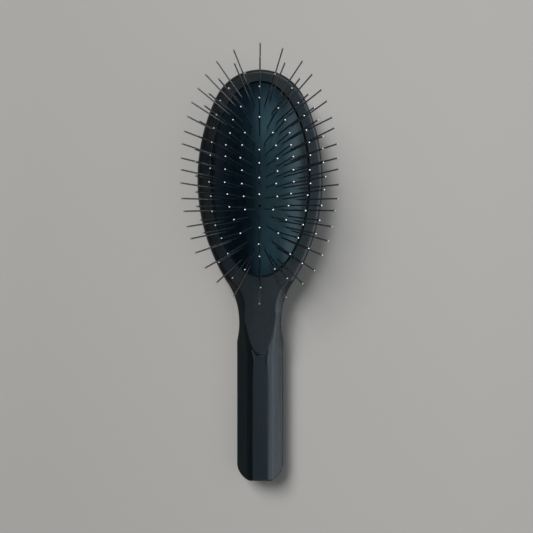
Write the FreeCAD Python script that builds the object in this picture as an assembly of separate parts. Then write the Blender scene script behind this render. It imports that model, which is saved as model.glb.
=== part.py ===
"""Oval pin brush for grooming: a wooden body, a domed rubber pad and its steel pins.

Millimetres. The brush lies on its back with the pins up. X runs across it, Y runs from the
handle to the head, and Z = 0 is the plane that it lies on. X = Y = 0 is the middle of the pad.
"""
import FreeCAD, Part

import math
import os
import random

from FreeCAD import Vector

# Plan of the wooden body, measured from the middle of the pad
HEAD_HALF_WIDTH = 36.0
HEAD_TOP = 63.2
HEAD_SIDE_RADIUS = 110.0
NECK_HALF_WIDTH = 12.0
NECK_Y = -82.0
HANDLE_HALF_WIDTH = 13.4
HANDLE_SHOULDER_RADIUS = 20.0  # blends the neck into the handle's straight side
HANDLE_END_Y = -172.8
HANDLE_CORNER_RADIUS = 8.5

# Thickness of the wooden body
BODY_THICKNESS = 21.0
FRONT_EDGE_RADIUS = 3.0
BACK_EDGE_RADIUS = 6.0

# Facets of the handle: a flat one on top and two slanted ones on each side, upper and lower
TOP_FACET_HALF_WIDTH = 4.5
UPPER_FACET_WIDTH = 2.9  # seen from above
UPPER_FACET_SLOPE = 28.0  # degrees between a slanted facet and the flat one
LOWER_FACET_SLOPE = 42.0
HANDLE_STEP = 1.1  # the handle's top facet lies this much below the head's face
FACET_BEND_Y = -101.0  # from here up the slanted facets turn outwards, to the neck
RUN_OUT_HALF_WIDTH = 9.0  # where they cross the face, at its narrowest place
RUN_OUT_Y = -74.0
RUN_OUT_RADIUS = 20.0  # from there the lower ones curve out through the shoulders of the head
TONGUE_TIP_Y = -99.6  # between the facets the head's face ends here in a rounded tongue
TONGUE_BEVEL = 1.6
TOP_FACET_END_HALF_WIDTH = 3.0  # the top facet narrows to this at the foot of the tongue
TOP_FACET_FULL_Y = -116.0
TOP_FACET_END_BEVEL = 1.9

# Oval pocket in the head, with the groove that holds the pad's lip
POCKET_HALF_WIDTH = 28.4
POCKET_HALF_LENGTH = 55.9
POCKET_DEPTH = 10.0
GROOVE_TOP_DEPTH = 2.6
GROOVE_HEIGHT = 2.2
GROOVE_REACH = 2.6

# Rubber pad
PAD_CROWN = 14.5  # height of its dome over the face of the head
PAD_WALL = 2.4
PAD_GAP = 0.4  # between the pad's side and the pocket's wall
LIP_END_GAP = 0.3
VENT_DIAMETER = 1.4
VENT_Y = -16.4

# Pins, from the innermost ring to the outermost; insets are taken from the pocket's edge
RING_INSET_WIDE = (24.1, 18.2, 14.2, 9.4, 4.9)
RING_INSET_LONG = (32.6, 24.9, 14.3, 9.6, 4.4)
RING_PIN_COUNT = (16, 24, 30, 34, 40)
RING_LEAN = (11.0, 15.5, 26.5, 34.5, 44.5)  # degrees from upright
RING_SWAY = (-1.6, 0.4, 1.5, 2.8, 4.3)  # degrees more that a whole ring leans towards the head end
RINGS_BETWEEN_ENDS = (3,)  # these have no pin on the brush's own axis
LEAN_TURN = 1.75  # how strongly a ring's pins turn to face square off its oval
END_PIN_INSET = 19.6  # one more pin at each end, between the second ring and the third
END_PIN_LEAN = 18.0
ROW_PIN_COUNT = 4
ROW_PITCH = 6.6
ROW_MIDDLE_Y = -1.1
ROW_LEAN_PER_MM = 0.25
LEAN_SCATTER = 1.6  # degrees, as no two pins stand quite alike
TURN_SCATTER = 3.0
SCATTER_SEED = 7

WIRE_DIAMETER = 0.85
WIRE_SIDES = 6
PIN_LENGTH = 30.0  # from under the head to the tip
PIN_TIP = 0.4
PIN_HEAD_DIAMETER = 2.2
PIN_HEAD_THICKNESS = 0.6
PIN_HEAD_GAP = 0.45  # under the pad, so that the tilted head clears the rubber

# Worked out from the sizes above
FACE_Z = BODY_THICKNESS
HANDLE_FACE_Z = FACE_Z - HANDLE_STEP
PAD_HALF_WIDTH = POCKET_HALF_WIDTH - PAD_GAP
PAD_HALF_LENGTH = POCKET_HALF_LENGTH - PAD_GAP
LIP_TOP_Z = FACE_Z - GROOVE_TOP_DEPTH
LIP_BOTTOM_Z = LIP_TOP_Z - GROOVE_HEIGHT
PAD_BEND_ACROSS = (PAD_HALF_WIDTH**2 + PAD_CROWN**2) / (2 * PAD_CROWN)
PAD_BEND_ALONG = (PAD_HALF_LENGTH**2 + PAD_CROWN**2) / (2 * PAD_CROWN)
PAD_AXIS_Z = FACE_Z + PAD_CROWN - PAD_BEND_ALONG
PAD_AXIS_REACH = PAD_BEND_ALONG - PAD_BEND_ACROSS

SAME_HEIGHT = 0.01  # edges this close to a plane lie in it


def arc(centre, start, end):
    """The shorter arc about centre from start to end."""
    half = (start - centre) + (end - centre)
    half.normalize()
    return Part.Arc(start, centre + half * (start - centre).Length, end).toShape()


def line(start, end):
    return Part.LineSegment(start, end).toShape()


def towards(start, end, distance):
    """The point at a distance from start on the way to end."""
    way = end - start
    way.normalize()
    return start + way * distance


def oval_face(half_width, half_length, z):
    """An oval that lies flat, with its long axis along Y."""
    ellipse = Part.Ellipse(Vector(0, 0, z), half_length, half_width)
    ellipse.XAxis = Vector(0, 1, 0)
    return Part.Face(Part.Wire(ellipse.toShape()))


def oval_block(half_width, half_length, bottom, top):
    return oval_face(half_width, half_length, bottom).extrude(Vector(0, 0, top - bottom))


def dome(inset):
    """What lies under the pad's surface: an arc across, swept along a larger arc lengthwise."""
    radius = PAD_BEND_ACROSS - inset
    middle_z = PAD_AXIS_Z + PAD_AXIS_REACH
    left = Vector(-radius, 0, middle_z)
    right = Vector(radius, 0, middle_z)
    top = Vector(0, 0, middle_z + radius)
    foot_z = PAD_AXIS_Z + PAD_AXIS_REACH / 2
    edges = [
        Part.Arc(left, top, right).toShape(),
        line(right, Vector(radius, 0, foot_z)),
        line(Vector(radius, 0, foot_z), Vector(-radius, 0, foot_z)),
        line(Vector(-radius, 0, foot_z), left),
    ]
    section = Part.Face(Part.Wire(edges))
    reach = 2 * math.degrees(math.asin(PAD_HALF_LENGTH / PAD_BEND_ALONG))
    section.rotate(Vector(0, 0, PAD_AXIS_Z), Vector(1, 0, 0), -reach)
    swept = section.revolve(Vector(0, 0, PAD_AXIS_Z), Vector(1, 0, 0), 2 * reach)
    return swept.toNurbs()  # takes far fewer facets once it is pierced


def body_outline():
    """The plan of the wooden body in tangent arcs: an oval head, a waisted neck, a straight handle."""
    top_radius = (HEAD_SIDE_RADIUS**2 - (HEAD_HALF_WIDTH - HEAD_SIDE_RADIUS) ** 2 - HEAD_TOP**2) / (
        2 * (HEAD_SIDE_RADIUS - HEAD_TOP)
    )
    side_middle = Vector(HEAD_HALF_WIDTH - HEAD_SIDE_RADIUS, 0, 0)
    top_middle = Vector(0, HEAD_TOP - top_radius, 0)
    across = NECK_HALF_WIDTH - side_middle.x
    neck_radius = (across**2 + NECK_Y**2 - HEAD_SIDE_RADIUS**2) / (2 * (HEAD_SIDE_RADIUS - across))
    neck_middle = Vector(NECK_HALF_WIDTH + neck_radius, NECK_Y, 0)
    blend_x = HANDLE_HALF_WIDTH - HANDLE_SHOULDER_RADIUS
    drop = math.sqrt((neck_radius + HANDLE_SHOULDER_RADIUS) ** 2 - (neck_middle.x - blend_x) ** 2)
    blend_middle = Vector(blend_x, NECK_Y - drop, 0)
    corner_middle = Vector(
        HANDLE_HALF_WIDTH - HANDLE_CORNER_RADIUS, HANDLE_END_Y + HANDLE_CORNER_RADIUS, 0
    )
    head_top = Vector(0, HEAD_TOP, 0)
    crown_end = towards(side_middle, top_middle, HEAD_SIDE_RADIUS)
    side_end = towards(side_middle, neck_middle, HEAD_SIDE_RADIUS)
    neck_end = towards(neck_middle, blend_middle, neck_radius)
    straight_start = blend_middle + Vector(HANDLE_SHOULDER_RADIUS, 0, 0)
    corner_start = corner_middle + Vector(HANDLE_CORNER_RADIUS, 0, 0)
    corner_end = corner_middle - Vector(0, HANDLE_CORNER_RADIUS, 0)
    right = [
        arc(top_middle, head_top, crown_end),
        arc(side_middle, crown_end, side_end),
        arc(neck_middle, side_end, neck_end),
        arc(blend_middle, neck_end, straight_start),
        line(straight_start, corner_start),
        arc(corner_middle, corner_start, corner_end),
        line(corner_end, Vector(0, HANDLE_END_Y, 0)),
    ]
    left = [e.mirror(Vector(0, 0, 0), Vector(1, 0, 0)) for e in right]
    return Part.Wire(Part.sortEdges(right + left)[0])


def rounded_block():
    """The outline sawn from a plank, with its front edge eased and its back edge well rounded."""
    block = Part.Face(body_outline()).extrude(Vector(0, 0, BODY_THICKNESS))
    front = [e for e in block.Edges if abs(e.BoundBox.ZMin - FACE_Z) < SAME_HEIGHT]
    block = block.makeFillet(FRONT_EDGE_RADIUS, front)
    back = [e for e in block.Edges if abs(e.BoundBox.ZMax) < SAME_HEIGHT]
    return block.makeFillet(BACK_EDGE_RADIUS, back)


def facet_start(slope, half_width, z):
    """How far from the axis a facet would cross the face, if it passes half_width at height z."""
    return half_width - (FACE_Z - z) / math.tan(math.radians(slope))


def upper_facet_start():
    return facet_start(UPPER_FACET_SLOPE, TOP_FACET_HALF_WIDTH, HANDLE_FACE_Z)


def lower_facet_start():
    drop = UPPER_FACET_WIDTH * math.tan(math.radians(UPPER_FACET_SLOPE))
    edge = TOP_FACET_HALF_WIDTH + UPPER_FACET_WIDTH
    return facet_start(LOWER_FACET_SLOPE, edge, HANDLE_FACE_Z - drop)


def bend_radius(start):
    """Radius of the arc in which a facet turns from its straight run to the narrowest place."""
    rise = RUN_OUT_HALF_WIDTH - start
    return (rise**2 + (RUN_OUT_Y - FACET_BEND_Y) ** 2) / (2 * rise)


def facet_cutter(slope, start, run_out):
    """What a right front facet takes off the handle; run_out is its plan from the narrowest place on."""
    beyond = 2 * HEAD_HALF_WIDTH
    low = Vector(start, HANDLE_END_Y - BODY_THICKNESS, FACE_Z)
    bend = Vector(start, FACET_BEND_Y, FACE_Z)
    neck = Vector(RUN_OUT_HALF_WIDTH, RUN_OUT_Y, FACE_Z)
    last = run_out[-1].Vertexes[-1].Point if run_out else neck
    edges = [line(low, bend), arc(neck - Vector(bend_radius(start), 0, 0), bend, neck)]
    edges += run_out
    edges += [
        line(last, Vector(beyond, last.y, FACE_Z)),
        line(Vector(beyond, last.y, FACE_Z), Vector(beyond, low.y, FACE_Z)),
        line(Vector(beyond, low.y, FACE_Z), low),
    ]
    across = math.radians(slope)
    plan = Part.Face(Part.Wire(edges))
    return plan.extrude(Vector(math.cos(across), 0, -math.sin(across)) * beyond)


def facet_cutters():
    """The lower and upper facets of both sides, and the ones on the back that match them."""
    neck = Vector(RUN_OUT_HALF_WIDTH, RUN_OUT_Y, FACE_Z)
    shoulder = neck + Vector(RUN_OUT_RADIUS, RUN_OUT_RADIUS, 0)
    run_out = [arc(neck + Vector(RUN_OUT_RADIUS, 0, 0), neck, shoulder)]
    right = [
        facet_cutter(LOWER_FACET_SLOPE, lower_facet_start(), run_out),
        facet_cutter(UPPER_FACET_SLOPE, upper_facet_start(), []),
    ]
    front = right + [c.mirror(Vector(0, 0, 0), Vector(1, 0, 0)) for c in right]
    middle = Vector(0, 0, HANDLE_FACE_Z / 2)
    return front + [c.mirror(middle, Vector(0, 0, 1)) for c in front]


def tongue_tip():
    """Radius of the round that closes the tongue, and where it meets the upper facets' edges.

    It lies inside the arcs of these edges and touches them, so that the outline runs on smoothly.
    """
    bend = bend_radius(upper_facet_start())
    length = RUN_OUT_Y - TONGUE_TIP_Y
    inside = bend - RUN_OUT_HALF_WIDTH
    radius = (bend**2 - inside**2 - length**2) / (2 * (bend - length))
    return radius, RUN_OUT_Y - bend * (length - radius) / (bend - radius)


def top_facet_side(end_y):
    """What narrows the top facet on the right on its way up to the tongue, as far as end_y."""
    foot_y = TONGUE_TIP_Y - TONGUE_BEVEL
    taper = (TOP_FACET_HALF_WIDTH - TOP_FACET_END_HALF_WIDTH) / (foot_y - TOP_FACET_FULL_Y)
    full = Vector(TOP_FACET_HALF_WIDTH, TOP_FACET_FULL_Y, HANDLE_FACE_Z)
    end = Vector(full.x - taper * (end_y - full.y), end_y, HANDLE_FACE_Z)
    beyond = Vector(HANDLE_HALF_WIDTH, 0, 0)
    plan = Part.Face(Part.makePolygon([full, end, end + beyond, full + beyond, full]))
    return plan.extrude(Vector(TOP_FACET_END_BEVEL, 0, HANDLE_STEP))


def step_cutter():
    """What lowers the handle below the head's face, from the end of the tongue down."""
    radius, end_y = tongue_tip()
    tip_middle = Vector(0, TONGUE_TIP_Y + radius, HANDLE_FACE_Z)
    tip = Part.makeCone(radius + TONGUE_BEVEL, radius, HANDLE_STEP, tip_middle)
    width = 2 * HEAD_HALF_WIDTH
    length = end_y - HANDLE_END_Y + BODY_THICKNESS
    corner = Vector(-width / 2, end_y - length, HANDLE_FACE_Z)
    slab = Part.makeBox(width, length, HANDLE_STEP, corner)
    right = top_facet_side(end_y)
    left = right.mirror(Vector(0, 0, 0), Vector(1, 0, 0))
    return slab.cut([tip, right, left])


def wooden_body():
    body = rounded_block()
    for cutter in facet_cutters():
        body = body.cut(cutter)
    body = body.cut(step_cutter())
    pocket = oval_block(
        POCKET_HALF_WIDTH, POCKET_HALF_LENGTH, FACE_Z - POCKET_DEPTH, FACE_Z + POCKET_DEPTH
    )
    groove = oval_block(
        POCKET_HALF_WIDTH + GROOVE_REACH, POCKET_HALF_LENGTH + GROOVE_REACH, LIP_BOTTOM_Z, LIP_TOP_Z
    )
    return body.cut(pocket).cut(groove).removeSplitter()


def pad_blank():
    """The pad before it is pierced: a hollow dome on a short skirt, with a lip around its foot."""
    reach = GROOVE_REACH + PAD_GAP - LIP_END_GAP
    lip = oval_block(PAD_HALF_WIDTH + reach, PAD_HALF_LENGTH + reach, LIP_BOTTOM_Z, LIP_TOP_Z)
    top_z = FACE_Z + PAD_CROWN + PAD_WALL
    outside = oval_block(PAD_HALF_WIDTH, PAD_HALF_LENGTH, LIP_BOTTOM_Z, top_z).common(dome(0))
    chamber = oval_block(
        PAD_HALF_WIDTH - PAD_WALL, PAD_HALF_LENGTH - PAD_WALL, LIP_BOTTOM_Z, top_z
    ).common(dome(PAD_WALL))
    return lip.fuse(outside).cut(chamber)


def along_oval(half_width, half_length, count, shift):
    """Angles of count places spaced evenly around an oval, the first at its head end."""
    steps = 2000
    reach = [0.0]
    for i in range(steps):
        a = 2 * math.pi * (i + 0.5) / steps
        stride = math.hypot(half_width * math.cos(a), half_length * math.sin(a))
        reach.append(reach[-1] + stride * 2 * math.pi / steps)
    angles = []
    i = 0
    for k in range(count):
        target = reach[-1] * (k + shift) / count
        while reach[i + 1] < target:
            i += 1
        part = (target - reach[i]) / (reach[i + 1] - reach[i])
        angles.append(2 * math.pi * (i + part) / steps)
    return angles


def on_pad(x, y):
    """The place on the pad's outer surface over (x, y)."""
    ridge = PAD_AXIS_REACH + math.sqrt(PAD_BEND_ACROSS**2 - x**2)
    return Vector(x, y, PAD_AXIS_Z + math.sqrt(ridge**2 - y**2))


def depth_in_pad(point):
    """How far a point lies below the pad's outer surface."""
    ridge = math.hypot(point.y, point.z - PAD_AXIS_Z) - PAD_AXIS_REACH
    return PAD_BEND_ACROSS - math.hypot(point.x, ridge)


def through_pad(foot, way):
    """How far it is from the pad's outer surface, back along a pin, to its inner one."""
    distance = PAD_WALL
    for _ in range(20):
        distance += PAD_WALL - depth_in_pad(foot - way * distance)
    return distance


def leaning(lean, turn, sway):
    """The direction of a pin that leans by lean degrees towards turn, an angle from X in radians.

    Sway tilts it by that many degrees more towards the head end.
    """
    slant = math.tan(math.radians(lean))
    sideways = math.tan(math.radians(sway))
    way = Vector(slant * math.cos(turn), slant * math.sin(turn) + sideways, 1)
    return way.normalize()


def ring_pins(ring, scatter):
    """(foot, direction) of each pin of a ring, clockwise from the head end."""
    half_width = POCKET_HALF_WIDTH - RING_INSET_WIDE[ring]
    half_length = POCKET_HALF_LENGTH - RING_INSET_LONG[ring]
    shift = 0.5 if ring + 1 in RINGS_BETWEEN_ENDS else 0.0
    pins = []
    for a in along_oval(half_width, half_length, RING_PIN_COUNT[ring], shift):
        x = half_width * math.sin(a)
        y = half_length * math.cos(a)
        turn = math.atan2(y / half_length**LEAN_TURN, x / half_width**LEAN_TURN)
        turn += math.radians(scatter.uniform(-TURN_SCATTER, TURN_SCATTER))
        lean = RING_LEAN[ring] + scatter.uniform(-LEAN_SCATTER, LEAN_SCATTER)
        pins.append((on_pad(x, y), leaning(lean, turn, RING_SWAY[ring])))
    return pins


def middle_pins(scatter):
    """(foot, direction) of the pins on the brush's axis: the middle row and one pin at each end."""
    pins = []
    for k in range(ROW_PIN_COUNT):
        y = ROW_MIDDLE_Y + ROW_PITCH * ((ROW_PIN_COUNT - 1) / 2 - k)
        lean = ROW_LEAN_PER_MM * y + scatter.uniform(-LEAN_SCATTER, LEAN_SCATTER)
        pins.append((on_pad(0, y), leaning(0, 0, lean)))
    end = POCKET_HALF_LENGTH - END_PIN_INSET
    for side in (1, -1):
        lean = END_PIN_LEAN + scatter.uniform(-LEAN_SCATTER, LEAN_SCATTER)
        pins.append((on_pad(0, side * end), leaning(0, 0, side * lean)))
    return pins


def wire_section(diameter, z):
    """A ring of flats whose area is about that of the round wire."""
    radius = diameter / 2 / math.sqrt(WIRE_SIDES / (2 * math.pi) * math.sin(2 * math.pi / WIRE_SIDES))
    turns = [2 * math.pi * k / WIRE_SIDES for k in range(WIRE_SIDES + 1)]
    return Part.makePolygon([Vector(radius * math.cos(t), radius * math.sin(t), z) for t in turns])


def pin_blank():
    """One pin that stands on Z = 0 with the underside of its head: head, shank and tip."""
    tip_z = PIN_LENGTH
    shank = Part.Face(wire_section(WIRE_DIAMETER, 0)).extrude(Vector(0, 0, tip_z - PIN_TIP))
    head = Part.Face(wire_section(PIN_HEAD_DIAMETER, -PIN_HEAD_THICKNESS))
    head = head.extrude(Vector(0, 0, PIN_HEAD_THICKNESS))
    rim = wire_section(WIRE_DIAMETER, tip_z - PIN_TIP)
    corners = [v.Point for v in rim.OrderedVertexes]
    peak = Vector(0, 0, tip_z)
    flats = [
        Part.Face(Part.makePolygon([a, b, peak, a])) for a, b in zip(corners, corners[1:] + corners[:1])
    ]
    tip = Part.makeSolid(Part.makeShell(flats + [Part.Face(rim)]))
    return head.fuse([shank, tip]).removeSplitter()


def pin_placement(foot, way):
    """Where a pin goes: its head stays just under the pad's inner surface."""
    back = through_pad(foot, way) + PIN_HEAD_GAP
    return FreeCAD.Placement(foot - way * back, FreeCAD.Rotation(Vector(0, 0, 1), way))


def placed(shape, placement):
    copy = shape.copy()
    copy.Placement = placement
    return copy


def pin_places():
    """Each pin node's name and the placements of its pins."""
    scatter = random.Random(SCATTER_SEED)
    groups = {}
    for ring in range(len(RING_PIN_COUNT)):
        for i, pin in enumerate(ring_pins(ring, scatter)):
            side = "right" if 2 * i < RING_PIN_COUNT[ring] else "left"
            groups.setdefault("pins_ring_%d_%s" % (ring + 1, side), []).append(pin_placement(*pin))
    groups["pins_middle_row"] = [pin_placement(*pin) for pin in middle_pins(scatter)]
    return groups


def rubber_pad(places):
    """The pad with its vent and a hole for every pin, each of the pin's own section."""
    drill = Part.Face(wire_section(WIRE_DIAMETER, 0)).extrude(Vector(0, 0, PIN_LENGTH))
    vent = Part.makeCylinder(VENT_DIAMETER / 2, FACE_Z + PAD_CROWN, Vector(0, VENT_Y, 0))
    return pad_blank().cut([vent] + [placed(drill, p) for p in places])


def save(node, shape):
    shape.exportStep("parts/%s.step" % node)
    print(node, len(shape.Solids), round(shape.Volume, 1), shape.isValid())


def main():
    os.makedirs("parts", exist_ok=True)
    groups = pin_places()
    pin = pin_blank()
    save("wooden_body", wooden_body())
    save("rubber_pad", rubber_pad([p for places in groups.values() for p in places]))
    for node, places in groups.items():
        save(node, Part.makeCompound([placed(pin, p) for p in places]))


main()
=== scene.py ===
"""Oval pin brush for grooming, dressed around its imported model.

Metres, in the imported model's frame: the brush lies on its back on Z = 0 with its pins up, X runs across
it and Y from the handle to the head. Laid out as an add-on: one operator for each group of pieces.
"""

import math

import bmesh
import bpy
import numpy as np
from bpy.props import FloatProperty, FloatVectorProperty, IntProperty, PointerProperty
from mathutils import Matrix, Vector


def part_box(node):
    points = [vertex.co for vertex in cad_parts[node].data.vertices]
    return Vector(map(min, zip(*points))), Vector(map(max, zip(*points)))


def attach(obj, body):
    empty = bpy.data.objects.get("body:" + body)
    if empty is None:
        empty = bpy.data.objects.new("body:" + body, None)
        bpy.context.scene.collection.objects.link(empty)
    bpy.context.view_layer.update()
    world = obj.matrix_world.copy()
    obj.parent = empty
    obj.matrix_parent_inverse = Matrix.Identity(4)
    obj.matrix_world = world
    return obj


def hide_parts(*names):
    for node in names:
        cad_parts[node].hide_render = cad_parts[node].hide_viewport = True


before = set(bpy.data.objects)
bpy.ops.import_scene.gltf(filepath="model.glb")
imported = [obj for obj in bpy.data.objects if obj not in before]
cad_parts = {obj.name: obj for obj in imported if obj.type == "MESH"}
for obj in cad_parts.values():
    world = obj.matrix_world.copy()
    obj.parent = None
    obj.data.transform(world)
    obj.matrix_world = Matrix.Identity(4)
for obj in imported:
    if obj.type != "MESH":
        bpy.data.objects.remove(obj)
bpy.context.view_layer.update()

bl_info = {
    "name": "Pin Brush",
    "version": (1, 0, 0),
    "blender": (4, 5, 0),
    "location": "View3D > Sidebar > Pin Brush",
    "description": "Stained wood, rubber pad and steel pins of an oval grooming brush",
    "category": "Add Mesh",
}

PIN_NODES = sorted(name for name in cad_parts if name.startswith("pins_"))
HALF_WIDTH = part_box("wooden_body")[1].x
FACE_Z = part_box("wooden_body")[1].z
PAD_LOW, PAD_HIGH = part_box("rubber_pad")

# the pin's end: depth below the end and half width, both as shares of the tip's diameter
TIP_PROFILE = ((0.95, 0.5), (0.26, 0.5), (0.12, 0.44), (0.03, 0.33))
SHANK_STOP = 1.3  # the wire stops this many tip diameters below the end

# points closer than this are one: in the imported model's triangles, and in a finished piece
SAME_POINT = 0.000002
NEAR_POINT = 0.00001

# the level boxes hang at this height, and the upright window stands at the brush's right
SKY_HEIGHT = 2.0
WINDOW_PLACE = (1.6, 0.0, 0.6)
WINDOW_SIZE = (3.0, 1.1)


def length(name, description, default):
    """A size that the user may change, kept in metres."""
    return FloatProperty(
        name=name, description=description, default=default, min=0.0,
        subtype="DISTANCE", unit="LENGTH", precision=5,
    )


def place_along(name, description, default):
    """A place on the brush's long axis, in metres from the middle of the pad."""
    return FloatProperty(
        name=name, description=description, default=default, subtype="DISTANCE", unit="LENGTH", precision=5
    )


def share(name, description, default):
    """A strength from none to full."""
    return FloatProperty(
        name=name, description=description, default=default, min=0.0, max=1.0, subtype="FACTOR"
    )


def angle(name, description, degrees):
    """An angle, written in degrees and kept in radians."""
    return FloatProperty(
        name=name, description=description, default=math.radians(degrees), subtype="ANGLE"
    )


def colour(name, description, default):
    """A colour in linear values."""
    return FloatVectorProperty(
        name=name, description=description, default=default, size=3, min=0.0, max=1.0, subtype="COLOR"
    )


class BrushWoodSettings(bpy.types.PropertyGroup):
    arris: length("Arris", "Width of the worn edge between two faces", 0.0006)
    arris_steps: IntProperty(
        name="Arris steps", description="Faces across a worn edge", default=2, min=1, max=4
    )
    arris_angle: angle("Arris angle", "Between the facets, edges sharper than this are worn", 13.0)
    square_angle: angle("Square angle", "Off the facets, only edges sharper than this are worn", 40.0)
    plain_angle: angle("Plain angle", "Faces that meet at less than this are one flat face", 0.6)
    facets_start: place_along("Facets start", "Where the handle's facets begin, below the head", -0.083)
    facets_end: place_along("Facets end", "Where the rounding of the handle's end begins", -0.1665)
    bend_y: place_along("Bend", "Where the handle's lower facets bend into the neck", -0.101)
    bend_run: length("Bend run", "Length that sanding has spread the bend over", 0.013)
    bend_angle: angle("Bend angle", "Faces turned less than this from a lower facet belong to it", 13.6)
    stain: colour("Stain", "Colour of the stain on bare wood", (0.0024, 0.0046, 0.0058))
    worn_stain: colour("Worn stain", "Colour where the stain is thin", (0.0038, 0.0062, 0.0076))
    bare_wood: colour("Bare wood", "Colour where the stain is nearly gone", (0.0190, 0.0125, 0.0100))
    lacquer: share("Lacquer", "How strongly the thin lacquer reflects", 0.2)
    lacquer_tint: colour("Lacquer tint", "Colour of the light that the lacquer reflects", (0.82, 0.95, 1.0))
    lacquer_roughness: share("Lacquer roughness", "How matt the satin lacquer is", 0.3)
    pore_depth: length("Pore depth", "Depth of the open grain", 0.00006)
    crown: length("Crown", "How far sanding has lowered the head's face at its sides", 0.0014)


class BrushPadSettings(bpy.types.PropertyGroup):
    wall: length("Wall", "Thickness of the rubber", 0.0024)
    lip_reach: length("Lip reach", "How far the lip stands out of the skirt", 0.0032)
    lip_height: length("Lip height", "Height of the lip in its groove", 0.0022)
    vent: length("Vent", "Diameter of the air hole", 0.0014)
    vent_y: place_along("Vent place", "Where the air hole is along the pad", -0.0164)
    rubber: colour("Rubber", "Colour of the moulded rubber", (0.0010, 0.0036, 0.0074))
    gloss: share("Gloss", "How strongly the rubber reflects", 0.186)
    sheen_tint: colour("Sheen tint", "Colour of the light that the rubber reflects", (0.53, 0.94, 1.0))
    roughness: share("Roughness", "How matt the rubber is", 0.34)


class BrushPinSettings(bpy.types.PropertyGroup):
    wire: length("Wire", "Diameter of the drawn wire", 0.00085)
    tip: length("Tip", "Diameter of the rounded tip", 0.00096)
    sides: IntProperty(name="Sides", description="Sides of the wire's mesh", default=10, min=6, max=16)
    steel: colour("Steel", "Colour of the drawn wire", (0.32, 0.33, 0.34))
    tip_steel: colour("Tip steel", "Colour of the polished tip", (0.95, 0.93, 0.90))
    roughness: share("Roughness", "How matt the drawn wire is", 0.24)


class BrushStageSettings(bpy.types.PropertyGroup):
    camera_height: length("Camera height", "Height of the camera over the floor", 0.421)
    camera_x: length("Camera X", "Distance of the camera to the right of the pad's middle", 0.0037)
    camera_y: place_along("Camera Y", "Place of the camera along the brush", -0.04985)
    lens: FloatProperty(name="Lens", description="Focal length in millimetres", default=47.4, min=10.0)
    floor_size: length("Floor size", "Side of the square floor", 12.0)
    # The floor's colour changes from the left to the right: painted light, the right side painted lighter as
    # if more light fell there.
    floor: colour("Floor", "Colour of the floor on the brush's left", (0.388, 0.384, 0.376))
    floor_right_with_painted_light: colour("Floor right", "Colour of the floor on its right", (0.452, 0.448, 0.438))
    floor_painted_light_turn: length("Floor turn", "Where the colour stops changing, left and right", 0.13)


def clear_selection():
    """Leaves edit mode and deselects every object."""
    if bpy.context.object and bpy.context.object.mode != "OBJECT":
        bpy.ops.object.mode_set(mode="OBJECT")
    bpy.ops.object.select_all(action="DESELECT")


def only(piece):
    """Selects one object and makes it active."""
    clear_selection()
    bpy.context.view_layer.objects.active = piece
    piece.select_set(True)
    return piece


def added(name):
    """The primitive that an operator has just added, under its own name and with its place in its mesh."""
    piece = only(bpy.context.object)
    piece.name = piece.data.name = name
    bpy.ops.object.transform_apply(location=True, rotation=True, scale=True)
    return piece


def merge_points(distance):
    """Merges the points of the active piece that are closer than distance."""
    bpy.ops.object.mode_set(mode="EDIT")
    bpy.ops.mesh.select_all(action="SELECT")
    bpy.ops.mesh.remove_doubles(threshold=distance)
    bpy.ops.object.mode_set(mode="OBJECT")


def combine(piece, other, operation):
    """Joins, cuts or crosses two closed pieces and removes the second."""
    only(piece)
    modifier = piece.modifiers.new(operation.title(), "BOOLEAN")
    modifier.operation = operation
    modifier.solver = "EXACT"
    modifier.object = other
    bpy.ops.object.modifier_apply(modifier=modifier.name)
    bpy.data.objects.remove(other)
    return piece


def finished(piece, nodes, material, smooth_angle):
    """Gives a piece its shading, its material, its body and the model's nodes that it stands for."""
    only(piece)
    bpy.ops.object.shade_smooth_by_angle(angle=math.radians(smooth_angle))
    piece.data.materials.clear()
    piece.data.materials.append(material)
    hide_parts(*nodes)
    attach(piece, "root")


def new_material(name):
    """An empty node material, its tree, its shader and its object coordinates."""
    material = bpy.data.materials.new(name)
    material.use_nodes = True
    tree = material.node_tree
    shader = tree.nodes["Principled BSDF"]
    coordinates = tree.nodes.new("ShaderNodeTexCoord")
    return material, tree, shader, coordinates.outputs["Object"]


def stretched(tree, source, scale):
    """Object coordinates in metres, scaled along each axis."""
    mapping = tree.nodes.new("ShaderNodeMapping")
    mapping.inputs["Scale"].default_value = scale
    tree.links.new(source, mapping.inputs["Vector"])
    return mapping.outputs["Vector"]


def axis(tree, place, letter):
    """One of the X, Y and Z values of a place."""
    split = tree.nodes.new("ShaderNodeSeparateXYZ")
    tree.links.new(place, split.inputs["Vector"])
    return split.outputs[letter]


def noise(tree, vector, scale, detail, roughness=0.5):
    """A cloudy value from 0 to 1; scale is in clouds for each metre."""
    node = tree.nodes.new("ShaderNodeTexNoise")
    node.inputs["Scale"].default_value = scale
    node.inputs["Detail"].default_value = detail
    node.inputs["Roughness"].default_value = roughness
    tree.links.new(vector, node.inputs["Vector"])
    return node.outputs["Fac"]


def spread(tree, source, low, high, to_low, to_high):
    """Maps low..high of a value to to_low..to_high, and holds it there."""
    node = tree.nodes.new("ShaderNodeMapRange")
    for socket, value in zip(("From Min", "From Max", "To Min", "To Max"), (low, high, to_low, to_high)):
        node.inputs[socket].default_value = value
    tree.links.new(source, node.inputs["Value"])
    return node.outputs["Result"]


def blended(tree, factor, first, second):
    """Mixes two colours, each of them a value or a socket."""
    node = tree.nodes.new("ShaderNodeMix")
    node.data_type = "RGBA"
    tree.links.new(factor, node.inputs["Factor"])
    for socket, value in ((node.inputs[6], first), (node.inputs[7], second)):
        if isinstance(value, bpy.types.NodeSocket):
            tree.links.new(value, socket)
        else:
            socket.default_value = (*value, 1.0)
    return node.outputs[2]


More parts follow.
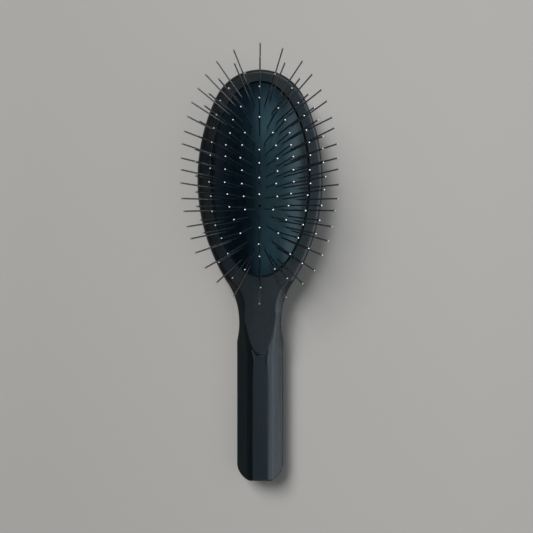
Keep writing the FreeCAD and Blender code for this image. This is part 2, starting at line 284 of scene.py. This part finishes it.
def bump(tree, height, distance, strength, normal=None):
    """A surface that stands up by distance where height is one, on top of another normal."""
    node = tree.nodes.new("ShaderNodeBump")
    node.inputs["Distance"].default_value = distance
    node.inputs["Strength"].default_value = strength
    tree.links.new(height, node.inputs["Height"])
    if normal:
        tree.links.new(normal, node.inputs["Normal"])
    return node.outputs["Normal"]


def crowned(tree, place, drop, normal):
    """The faint curve across a face that was sanded by hand: it falls by drop towards the head's sides."""
    across = axis(tree, place, "X")
    squared = tree.nodes.new("ShaderNodeMath")
    squared.operation = "MULTIPLY"
    for socket in squared.inputs[:2]:
        tree.links.new(across, socket)
    height = spread(tree, squared.outputs["Value"], 0.0, HALF_WIDTH**2, 1.0, 0.0)
    return bump(tree, height, drop, 1.0, normal)


def on_head(tree, place):
    """One on the head, whose stain is rubbed the most, and 0.15 on the handle."""
    return spread(tree, axis(tree, place, "Y"), -0.1, -0.075, 0.15, 1.0)


def stained_wood(settings):
    """Black stain on close-grained wood under a thin satin lacquer."""
    material, tree, shader, place = new_material("stained_wood_satin")
    along = stretched(tree, place, (1.0, 0.07, 1.0))
    figure = noise(tree, along, scale=90.0, detail=4.0)
    fine = stretched(tree, place, (1.0, 0.04, 1.0))
    pores = noise(tree, fine, scale=1500.0, detail=3.0, roughness=0.6)
    wear = noise(tree, place, scale=28.0, detail=5.0, roughness=0.6)
    patch = spread(tree, wear, 0.45, 0.75, 0.0, 0.6)
    base = blended(tree, patch, settings.stain, settings.worn_stain)
    streak = spread(tree, figure, 0.35, 0.7, 0.0, 0.55)
    flecks = spread(tree, pores, 0.52, 0.72, 0.0, 0.25)
    tone = blended(tree, flecks, blended(tree, streak, base, settings.worn_stain), settings.bare_wood)
    short = stretched(tree, place, (1.0, 0.45, 1.0))
    rubbed = noise(tree, short, scale=55.0, detail=5.0, roughness=0.65)
    bare = blended(tree, spread(tree, rubbed, 0.47, 0.68, 0.0, 0.75), tone, settings.bare_wood)
    tree.links.new(blended(tree, on_head(tree, place), tone, bare), shader.inputs["Base Color"])
    rough = settings.lacquer_roughness
    tree.links.new(spread(tree, figure, 0.3, 0.7, rough - 0.06, rough + 0.08), shader.inputs["Roughness"])
    grain = bump(tree, pores, settings.pore_depth, 0.5)
    waves = bump(tree, figure, settings.pore_depth * 4, 0.5, grain)
    tree.links.new(crowned(tree, place, settings.crown, waves), shader.inputs["Normal"])
    shader.inputs["Specular IOR Level"].default_value = settings.lacquer
    shader.inputs["Specular Tint"].default_value = (*settings.lacquer_tint, 1.0)
    return material


def moulded_rubber(settings):
    """Black rubber with the soft sheen of a moulded skin."""
    material, tree, shader, place = new_material("moulded_rubber")
    cloud = noise(tree, place, scale=45.0, detail=4.0)
    skin = noise(tree, place, scale=2600.0, detail=2.0)
    dusty = tuple(channel * 1.6 for channel in settings.rubber)
    bloom = spread(tree, cloud, 0.4, 0.75, 0.0, 0.5)
    tree.links.new(blended(tree, bloom, settings.rubber, dusty), shader.inputs["Base Color"])
    rough = settings.roughness
    tree.links.new(spread(tree, cloud, 0.3, 0.7, rough - 0.05, rough + 0.06), shader.inputs["Roughness"])
    tree.links.new(bump(tree, skin, distance=0.00003, strength=0.4), shader.inputs["Normal"])
    shader.inputs["Specular IOR Level"].default_value = settings.gloss
    shader.inputs["Specular Tint"].default_value = (*settings.sheen_tint, 1.0)
    return material


def drawn_steel(settings):
    """Bright wire with the faint lines that drawing leaves along it."""
    material, tree, shader, place = new_material("drawn_steel")
    lines = noise(tree, place, scale=3200.0, detail=2.0)
    tone = spread(tree, lines, 0.35, 0.65, 0.0, 1.0)
    darker = tuple(channel * 0.82 for channel in settings.steel)
    tree.links.new(blended(tree, tone, darker, settings.steel), shader.inputs["Base Color"])
    rough = settings.roughness
    tree.links.new(spread(tree, lines, 0.35, 0.65, rough - 0.05, rough + 0.06), shader.inputs["Roughness"])
    shader.inputs["Metallic"].default_value = 1.0
    return material


def polished_tip(settings):
    """The tumbled, polished end of the wire."""
    material, tree, shader, place = new_material("polished_tip")
    grain = noise(tree, place, scale=2400.0, detail=2.0)
    bright = tuple(min(1.0, channel * 1.06) for channel in settings.tip_steel)
    tree.links.new(blended(tree, grain, settings.tip_steel, bright), shader.inputs["Base Color"])
    tree.links.new(spread(tree, grain, 0.3, 0.7, 0.14, 0.2), shader.inputs["Roughness"])
    shader.inputs["Metallic"].default_value = 1.0
    return material


def oval_prism(half_width, half_length, low, high):
    """An upright oval block between two heights."""
    clear_selection()
    bpy.ops.mesh.primitive_cylinder_add(
        vertices=160, radius=1.0, depth=high - low, location=(0, 0, (low + high) / 2),
        scale=(half_width, half_length, 1.0),
    )
    return added("oval")


def pad_dome(half_width, half_length, crown, inset, low):
    """The closed form under the pad's surface: the top of a torus, cut off level and filled."""
    across = (half_width**2 + crown**2) / (2 * crown)
    lengthwise = (half_length**2 + crown**2) / (2 * crown)
    clear_selection()
    bpy.ops.mesh.primitive_torus_add(
        align="WORLD", location=(0, 0, FACE_Z + crown - lengthwise), rotation=(0, math.pi / 2, 0),
        major_segments=420, minor_segments=150, major_radius=lengthwise - across, minor_radius=across - inset,
    )
    dome = added("dome")
    bpy.ops.object.mode_set(mode="EDIT")
    bpy.ops.mesh.select_all(action="SELECT")
    bpy.ops.mesh.bisect(plane_co=(0, 0, low), plane_no=(0, 0, 1), clear_inner=True, use_fill=True)
    bpy.ops.object.mode_set(mode="OBJECT")
    return dome


def mark_arrises(mesh, settings):
    """Marks the edges to wear: between the handle's facets, and elsewhere only the square ones."""
    edit = bmesh.new()
    edit.from_mesh(mesh)
    weight = edit.edges.layers.float.new("bevel_weight_edge")
    for edge in edit.edges:
        along = sum(vertex.co.y for vertex in edge.verts) / 2
        on_facets = settings.facets_end < along < settings.facets_start
        limit = settings.arris_angle if on_facets else settings.square_angle
        edge[weight] = float(edge.calc_face_angle(0.0) > limit)
    edit.to_mesh(mesh)
    edit.free()


def ease_bend(mesh, settings):
    """Spreads the bend at the top of each lower facet towards the head, in the shading only."""
    normals = [corner.vector.copy() for corner in mesh.corner_normals]
    large = 0.0003  # square metres, and only long, flat faces are larger
    slanted = 0.5  # the least share of a slanted face's normal both across and up or down
    plain = [
        face.normal.copy() for face in mesh.polygons
        if face.area > large and min(abs(face.normal.x), abs(face.normal.z)) > slanted
    ]
    start, run = settings.bend_y, settings.bend_run
    for face in mesh.polygons:
        if not start < face.center.y < start + run:
            continue
        for normal in plain:
            if face.normal.angle(normal) > settings.bend_angle:
                continue
            for corner in face.loop_indices:
                along = mesh.vertices[mesh.loops[corner].vertex_index].co.y
                part = min(max((along - start) / run, 0.0), 1.0)
                eased = part * part * (3 - 2 * part)
                normals[corner] = normal.lerp(normals[corner], eased).normalized()
    mesh.normals_split_custom_set(normals)


class BRUSH_OT_wooden_body(bpy.types.Operator):
    """Dress the wooden body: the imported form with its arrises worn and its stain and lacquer"""

    bl_idname = "brush.wooden_body"
    bl_label = "Wooden Body"
    bl_options = {"REGISTER", "UNDO"}

    def execute(self, context):
        settings = context.scene.brush_wood
        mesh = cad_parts["wooden_body"].data.copy()
        body = bpy.data.objects.new("stained_body", mesh)
        context.scene.collection.objects.link(body)
        only(body)
        bpy.ops.mesh.customdata_custom_splitnormals_clear()
        bpy.ops.object.mode_set(mode="EDIT")
        bpy.ops.mesh.select_all(action="SELECT")
        bpy.ops.mesh.remove_doubles(threshold=SAME_POINT)
        bpy.ops.mesh.mark_sharp(clear=True)
        bpy.ops.mesh.dissolve_limited(angle_limit=settings.plain_angle)
        bpy.ops.object.mode_set(mode="OBJECT")
        mark_arrises(mesh, settings)
        worn = body.modifiers.new("Worn arrises", "BEVEL")
        worn.width = settings.arris
        worn.segments = settings.arris_steps
        worn.limit_method = "WEIGHT"
        worn.use_clamp_overlap = False
        bpy.ops.object.modifier_apply(modifier=worn.name)
        merge_points(NEAR_POINT)
        finished(body, ["wooden_body"], stained_wood(settings), smooth_angle=35)
        flat = body.modifiers.new("Flat facets", "WEIGHTED_NORMAL")
        flat.keep_sharp = True
        bpy.ops.object.modifier_apply(modifier=flat.name)
        ease_bend(mesh, settings)
        return {"FINISHED"}


class BRUSH_OT_rubber_pad(bpy.types.Operator):
    """Model the rubber pad: a hollow oval dome on a lip, with its vent"""

    bl_idname = "brush.rubber_pad"
    bl_label = "Rubber Pad"
    bl_options = {"REGISTER", "UNDO"}

    def execute(self, context):
        settings = context.scene.brush_pad
        half_width = PAD_HIGH.x - settings.lip_reach
        half_length = PAD_HIGH.y - settings.lip_reach
        crown = PAD_HIGH.z - FACE_Z
        low = PAD_LOW.z
        wall = settings.wall
        inside = oval_prism(half_width - wall, half_length - wall, low - wall, PAD_HIGH.z)
        chamber = combine(
            pad_dome(half_width, half_length, crown, wall, low - wall), inside, "INTERSECT"
        )
        outside = oval_prism(half_width, half_length, low, PAD_HIGH.z + wall)
        pad = combine(pad_dome(half_width, half_length, crown, 0.0, low), outside, "INTERSECT")
        lip = oval_prism(PAD_HIGH.x, PAD_HIGH.y, low, low + settings.lip_height)
        combine(pad, lip, "UNION")
        combine(pad, chamber, "DIFFERENCE")
        clear_selection()
        bpy.ops.mesh.primitive_cylinder_add(
            vertices=24, radius=settings.vent / 2, depth=2 * crown, location=(0, settings.vent_y, PAD_HIGH.z)
        )
        combine(pad, added("vent"), "DIFFERENCE")
        merge_points(NEAR_POINT)
        pad.name = pad.data.name = "moulded_pad"
        finished(pad, ["rubber_pad"], moulded_rubber(settings), smooth_angle=30)
        return {"FINISHED"}


def pin_lines(node):
    """(middle of the head's side, tip) of each pin in one of the model's pin nodes."""
    mesh = bmesh.new()
    mesh.from_mesh(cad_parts[node].data)
    bmesh.ops.remove_doubles(mesh, verts=mesh.verts, dist=SAME_POINT)
    left = set(mesh.verts)
    lines = []
    while left:
        island = [left.pop()]
        for vertex in island:
            for edge in vertex.link_edges:
                other = edge.other_vert(vertex)
                if other in left:
                    left.remove(other)
                    island.append(other)
        places = np.array([vertex.co for vertex in island])
        reach = np.linalg.norm(places - places.mean(0), axis=1)
        tip = places[reach.argmax()]
        away = np.linalg.norm(places - tip, axis=1)
        lines.append((Vector(places[away > away.max() / 2].mean(0)), Vector(tip)))
    mesh.free()
    return sorted(lines, key=lambda line: tuple(line[1]))


def pin_model(settings, height):
    """One upright pin from its head end at the origin: drawn wire with a slightly wider, rounded tip."""
    shank = height - SHANK_STOP * settings.tip
    clear_selection()
    bpy.ops.mesh.primitive_cylinder_add(
        vertices=settings.sides, radius=settings.wire / 2, depth=shank, location=(0, 0, shank / 2),
        end_fill_type="NGON",
    )
    pin = added("pin")
    bpy.ops.object.mode_set(mode="EDIT")
    bpy.ops.mesh.select_all(action="DESELECT")
    edit = bmesh.from_edit_mesh(pin.data)
    for face in edit.faces:
        face.select = face.normal.z > 0.9  # the upper end
    bmesh.update_edit_mesh(pin.data)
    wide = settings.wire / 2
    top = shank
    for depth, half_width in TIP_PROFILE:
        level = height - depth * settings.tip
        bpy.ops.mesh.extrude_region_move(TRANSFORM_OT_translate={"value": (0, 0, level - top)})
        ratio = half_width * settings.tip / wide
        bpy.ops.transform.resize(value=(ratio, ratio, 1.0), center_override=(0, 0, level))
        wide *= ratio
        top = level
    bpy.ops.mesh.inset(thickness=wide * 0.5, depth=height - top)
    bpy.ops.object.mode_set(mode="OBJECT")
    pin.data.materials.append(drawn_steel(settings))
    pin.data.materials.append(polished_tip(settings))
    for face in pin.data.polygons:
        face.material_index = int(face.center.z > top)
    return pin


class BRUSH_OT_pins(bpy.types.Operator):
    """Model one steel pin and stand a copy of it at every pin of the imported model"""

    bl_idname = "brush.pins"
    bl_label = "Steel Pins"
    bl_options = {"REGISTER", "UNDO"}

    def execute(self, context):
        settings = context.scene.brush_pins
        head, tip = pin_lines(PIN_NODES[0])[0]
        pattern = pin_model(settings, (tip - head).length)
        for node in PIN_NODES:
            copies = []
            for head, tip in pin_lines(node):
                turn = (tip - head).to_track_quat("Z", "Y").to_matrix().to_4x4()
                mesh = pattern.data.copy()
                mesh.transform(Matrix.Translation(head) @ turn)
                copy = bpy.data.objects.new("pin", mesh)
                context.scene.collection.objects.link(copy)
                copies.append(copy)
            only(copies[0])
            for copy in copies:
                copy.select_set(True)
            bpy.ops.object.join()
            group = context.object
            group.name = group.data.name = "steel_" + node
            bpy.ops.object.shade_smooth_by_angle(angle=math.radians(50))
            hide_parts(node)
            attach(group, "root")
        bpy.data.objects.remove(pattern)
        return {"FINISHED"}


def soft_box(name, place, target, size, radiance, tint):
    """A soft box that faces a place; size is its width and height, radiance how bright its face is."""
    light = bpy.data.lights.new(name, "AREA")
    light.shape = "RECTANGLE"
    light.size, light.size_y = size
    light.energy = radiance * math.pi * size[0] * size[1]
    light.color = tint
    box = bpy.data.objects.new(name, light)
    bpy.context.scene.collection.objects.link(box)
    box.location = place
    box.rotation_euler = (Vector(target) - Vector(place)).to_track_quat("-Z", "Y").to_euler()
    box.visible_camera = False
    return box


def shine_on(light, *names):
    """Keeps a light off all but the named pieces."""
    group = bpy.data.collections.new(light.name)
    for name in names:
        group.objects.link(bpy.data.objects[name])
    light.light_linking.receiver_collection = group


def overhead(name, across, along, radiance, tint):
    """A soft box that hangs level over the brush; across and along are the ranges it covers."""
    place = (sum(across) / 2, sum(along) / 2, SKY_HEIGHT)
    size = (across[1] - across[0], along[1] - along[0])
    return soft_box(name, place, (place[0], place[1], 0.0), size, radiance, tint)


class BRUSH_OT_stage(bpy.types.Operator):
    """Set up the floor, the soft light and the camera"""

    bl_idname = "brush.stage"
    bl_label = "Stage"
    bl_options = {"REGISTER", "UNDO"}

    def execute(self, context):
        settings = context.scene.brush_stage
        clear_selection()
        bpy.ops.mesh.primitive_plane_add(size=settings.floor_size, location=(0, 0, 0))
        floor = added("floor")
        material, tree, shader, place = new_material("floor_paint_with_painted_light")
        # Painted light: the floor's colour runs from darker on the left to lighter on the right.
        turn = settings.floor_painted_light_turn
        across = spread(tree, axis(tree, place, "X"), -turn, turn, 0.0, 1.0)
        floor_with_painted_light_colour = blended(tree, across, settings.floor, settings.floor_right_with_painted_light)
        tree.links.new(floor_with_painted_light_colour, shader.inputs["Base Color"])
        shader.inputs["Roughness"].default_value = 0.9
        shader.inputs["Specular IOR Level"].default_value = 0.2
        floor.data.materials.append(material)

        # soft_box takes a name, a place, a target, a size, a radiance and a tint
        # overhead takes a name, the ranges across and along, a radiance and a tint
        middle = (0.0, -0.05, 0.0)
        opposite = (0.0, 0.0, WINDOW_PLACE[2])
        for light in (
            soft_box("key", (-1.15, 1.5, 2.6), middle, (1.4, 1.4), 16.6, (1.0, 0.99, 0.97)),
            soft_box("fill", (0.9, -0.2, 2.2), middle, (3.0, 3.0), 0.52, (0.97, 0.98, 1.0)),
        ):
            light.visible_glossy = False
        for light in (
            overhead("sky", (-0.25, 0.3), (-0.7, 0.58), 1.53, (0.857, 1.0, 1.14)),
            overhead("sky_right", (0.3, 2.7), (-1.2, 1.2), 2.05, (0.834, 1.0, 1.12)),
            overhead("sky_head_end", (-0.3, 2.2), (1.05, 3.6), 4.8, (0.811, 1.0, 1.14)),
            overhead("sky_handle_end", (-0.3, 2.2), (-3.6, -1.1), 2.6, (0.765, 1.0, 1.187)),
            soft_box("window", WINDOW_PLACE, opposite, WINDOW_SIZE, 5.1, (0.95, 1.0, 1.09)),
            soft_box("wall", (-1.6, 0.0, 0.3), (0.0, 0.0, 0.3), (3.0, 0.5), 0.24, (0.6, 1.0, 1.1)),
        ):
            light.visible_diffuse = False
            shine_on(light, "stained_body", "moulded_pad")
        for light in (
            overhead("pin_sky", (-2.6, 2.6), (-2.6, 2.5), 1.2, (0.92, 1.0, 1.05)),
            soft_box("pin_window", WINDOW_PLACE, opposite, WINDOW_SIZE, 1.9, (0.94, 1.0, 1.04)),
        ):
            light.visible_diffuse = False
            shine_on(light, *("steel_" + node for node in PIN_NODES))

        world = bpy.data.worlds.new("room")
        context.scene.world = world
        world.use_nodes = True
        tree = world.node_tree
        room = tree.nodes["Background"]
        room.inputs["Color"].default_value = (0.9, 0.96, 1.0, 1.0)
        room.inputs["Strength"].default_value = 0.05
        backdrop = tree.nodes.new("ShaderNodeBackground")
        backdrop.inputs["Color"].default_value = (*settings.floor, 1.0)
        seen = tree.nodes.new("ShaderNodeLightPath")
        mix = tree.nodes.new("ShaderNodeMixShader")
        tree.links.new(seen.outputs["Is Camera Ray"], mix.inputs["Fac"])
        tree.links.new(room.outputs["Background"], mix.inputs[1])
        tree.links.new(backdrop.outputs["Background"], mix.inputs[2])
        tree.links.new(mix.outputs["Shader"], tree.nodes["World Output"].inputs["Surface"])

        camera = bpy.data.objects.new("camera", bpy.data.cameras.new("camera"))
        context.scene.collection.objects.link(camera)
        camera.location = (settings.camera_x, settings.camera_y, settings.camera_height)
        camera.data.lens = settings.lens
        camera.data.clip_start = 0.01
        context.scene.camera = camera
        context.scene.view_settings.view_transform = "Standard"
        return {"FINISHED"}


class BRUSH_PT_panel(bpy.types.Panel):
    """Lists the brush's pieces"""

    bl_idname = "BRUSH_PT_panel"
    bl_label = "Pin Brush"
    bl_space_type = "VIEW_3D"
    bl_region_type = "UI"
    bl_category = "Pin Brush"

    def draw(self, context):
        for operator in OPERATORS:
            self.layout.operator(operator.bl_idname)


SETTINGS = {
    "brush_wood": BrushWoodSettings,
    "brush_pad": BrushPadSettings,
    "brush_pins": BrushPinSettings,
    "brush_stage": BrushStageSettings,
}
OPERATORS = (BRUSH_OT_wooden_body, BRUSH_OT_rubber_pad, BRUSH_OT_pins, BRUSH_OT_stage)


def register():
    """Adds the brush's settings, operators and panel."""
    for group in SETTINGS.values():
        bpy.utils.register_class(group)
    for name, group in SETTINGS.items():
        setattr(bpy.types.Scene, name, PointerProperty(type=group))
    for cls in (*OPERATORS, BRUSH_PT_panel):
        bpy.utils.register_class(cls)


def unregister():
    """Takes them away again."""
    for cls in (BRUSH_PT_panel, *reversed(OPERATORS)):
        bpy.utils.unregister_class(cls)
    for name, group in reversed(SETTINGS.items()):
        delattr(bpy.types.Scene, name)
        bpy.utils.unregister_class(group)


def main():
    """Models the brush."""
    register()
    bpy.ops.brush.wooden_body()
    bpy.ops.brush.rubber_pad()
    bpy.ops.brush.pins()
    bpy.ops.brush.stage()


if __name__ == "__main__":
    main()
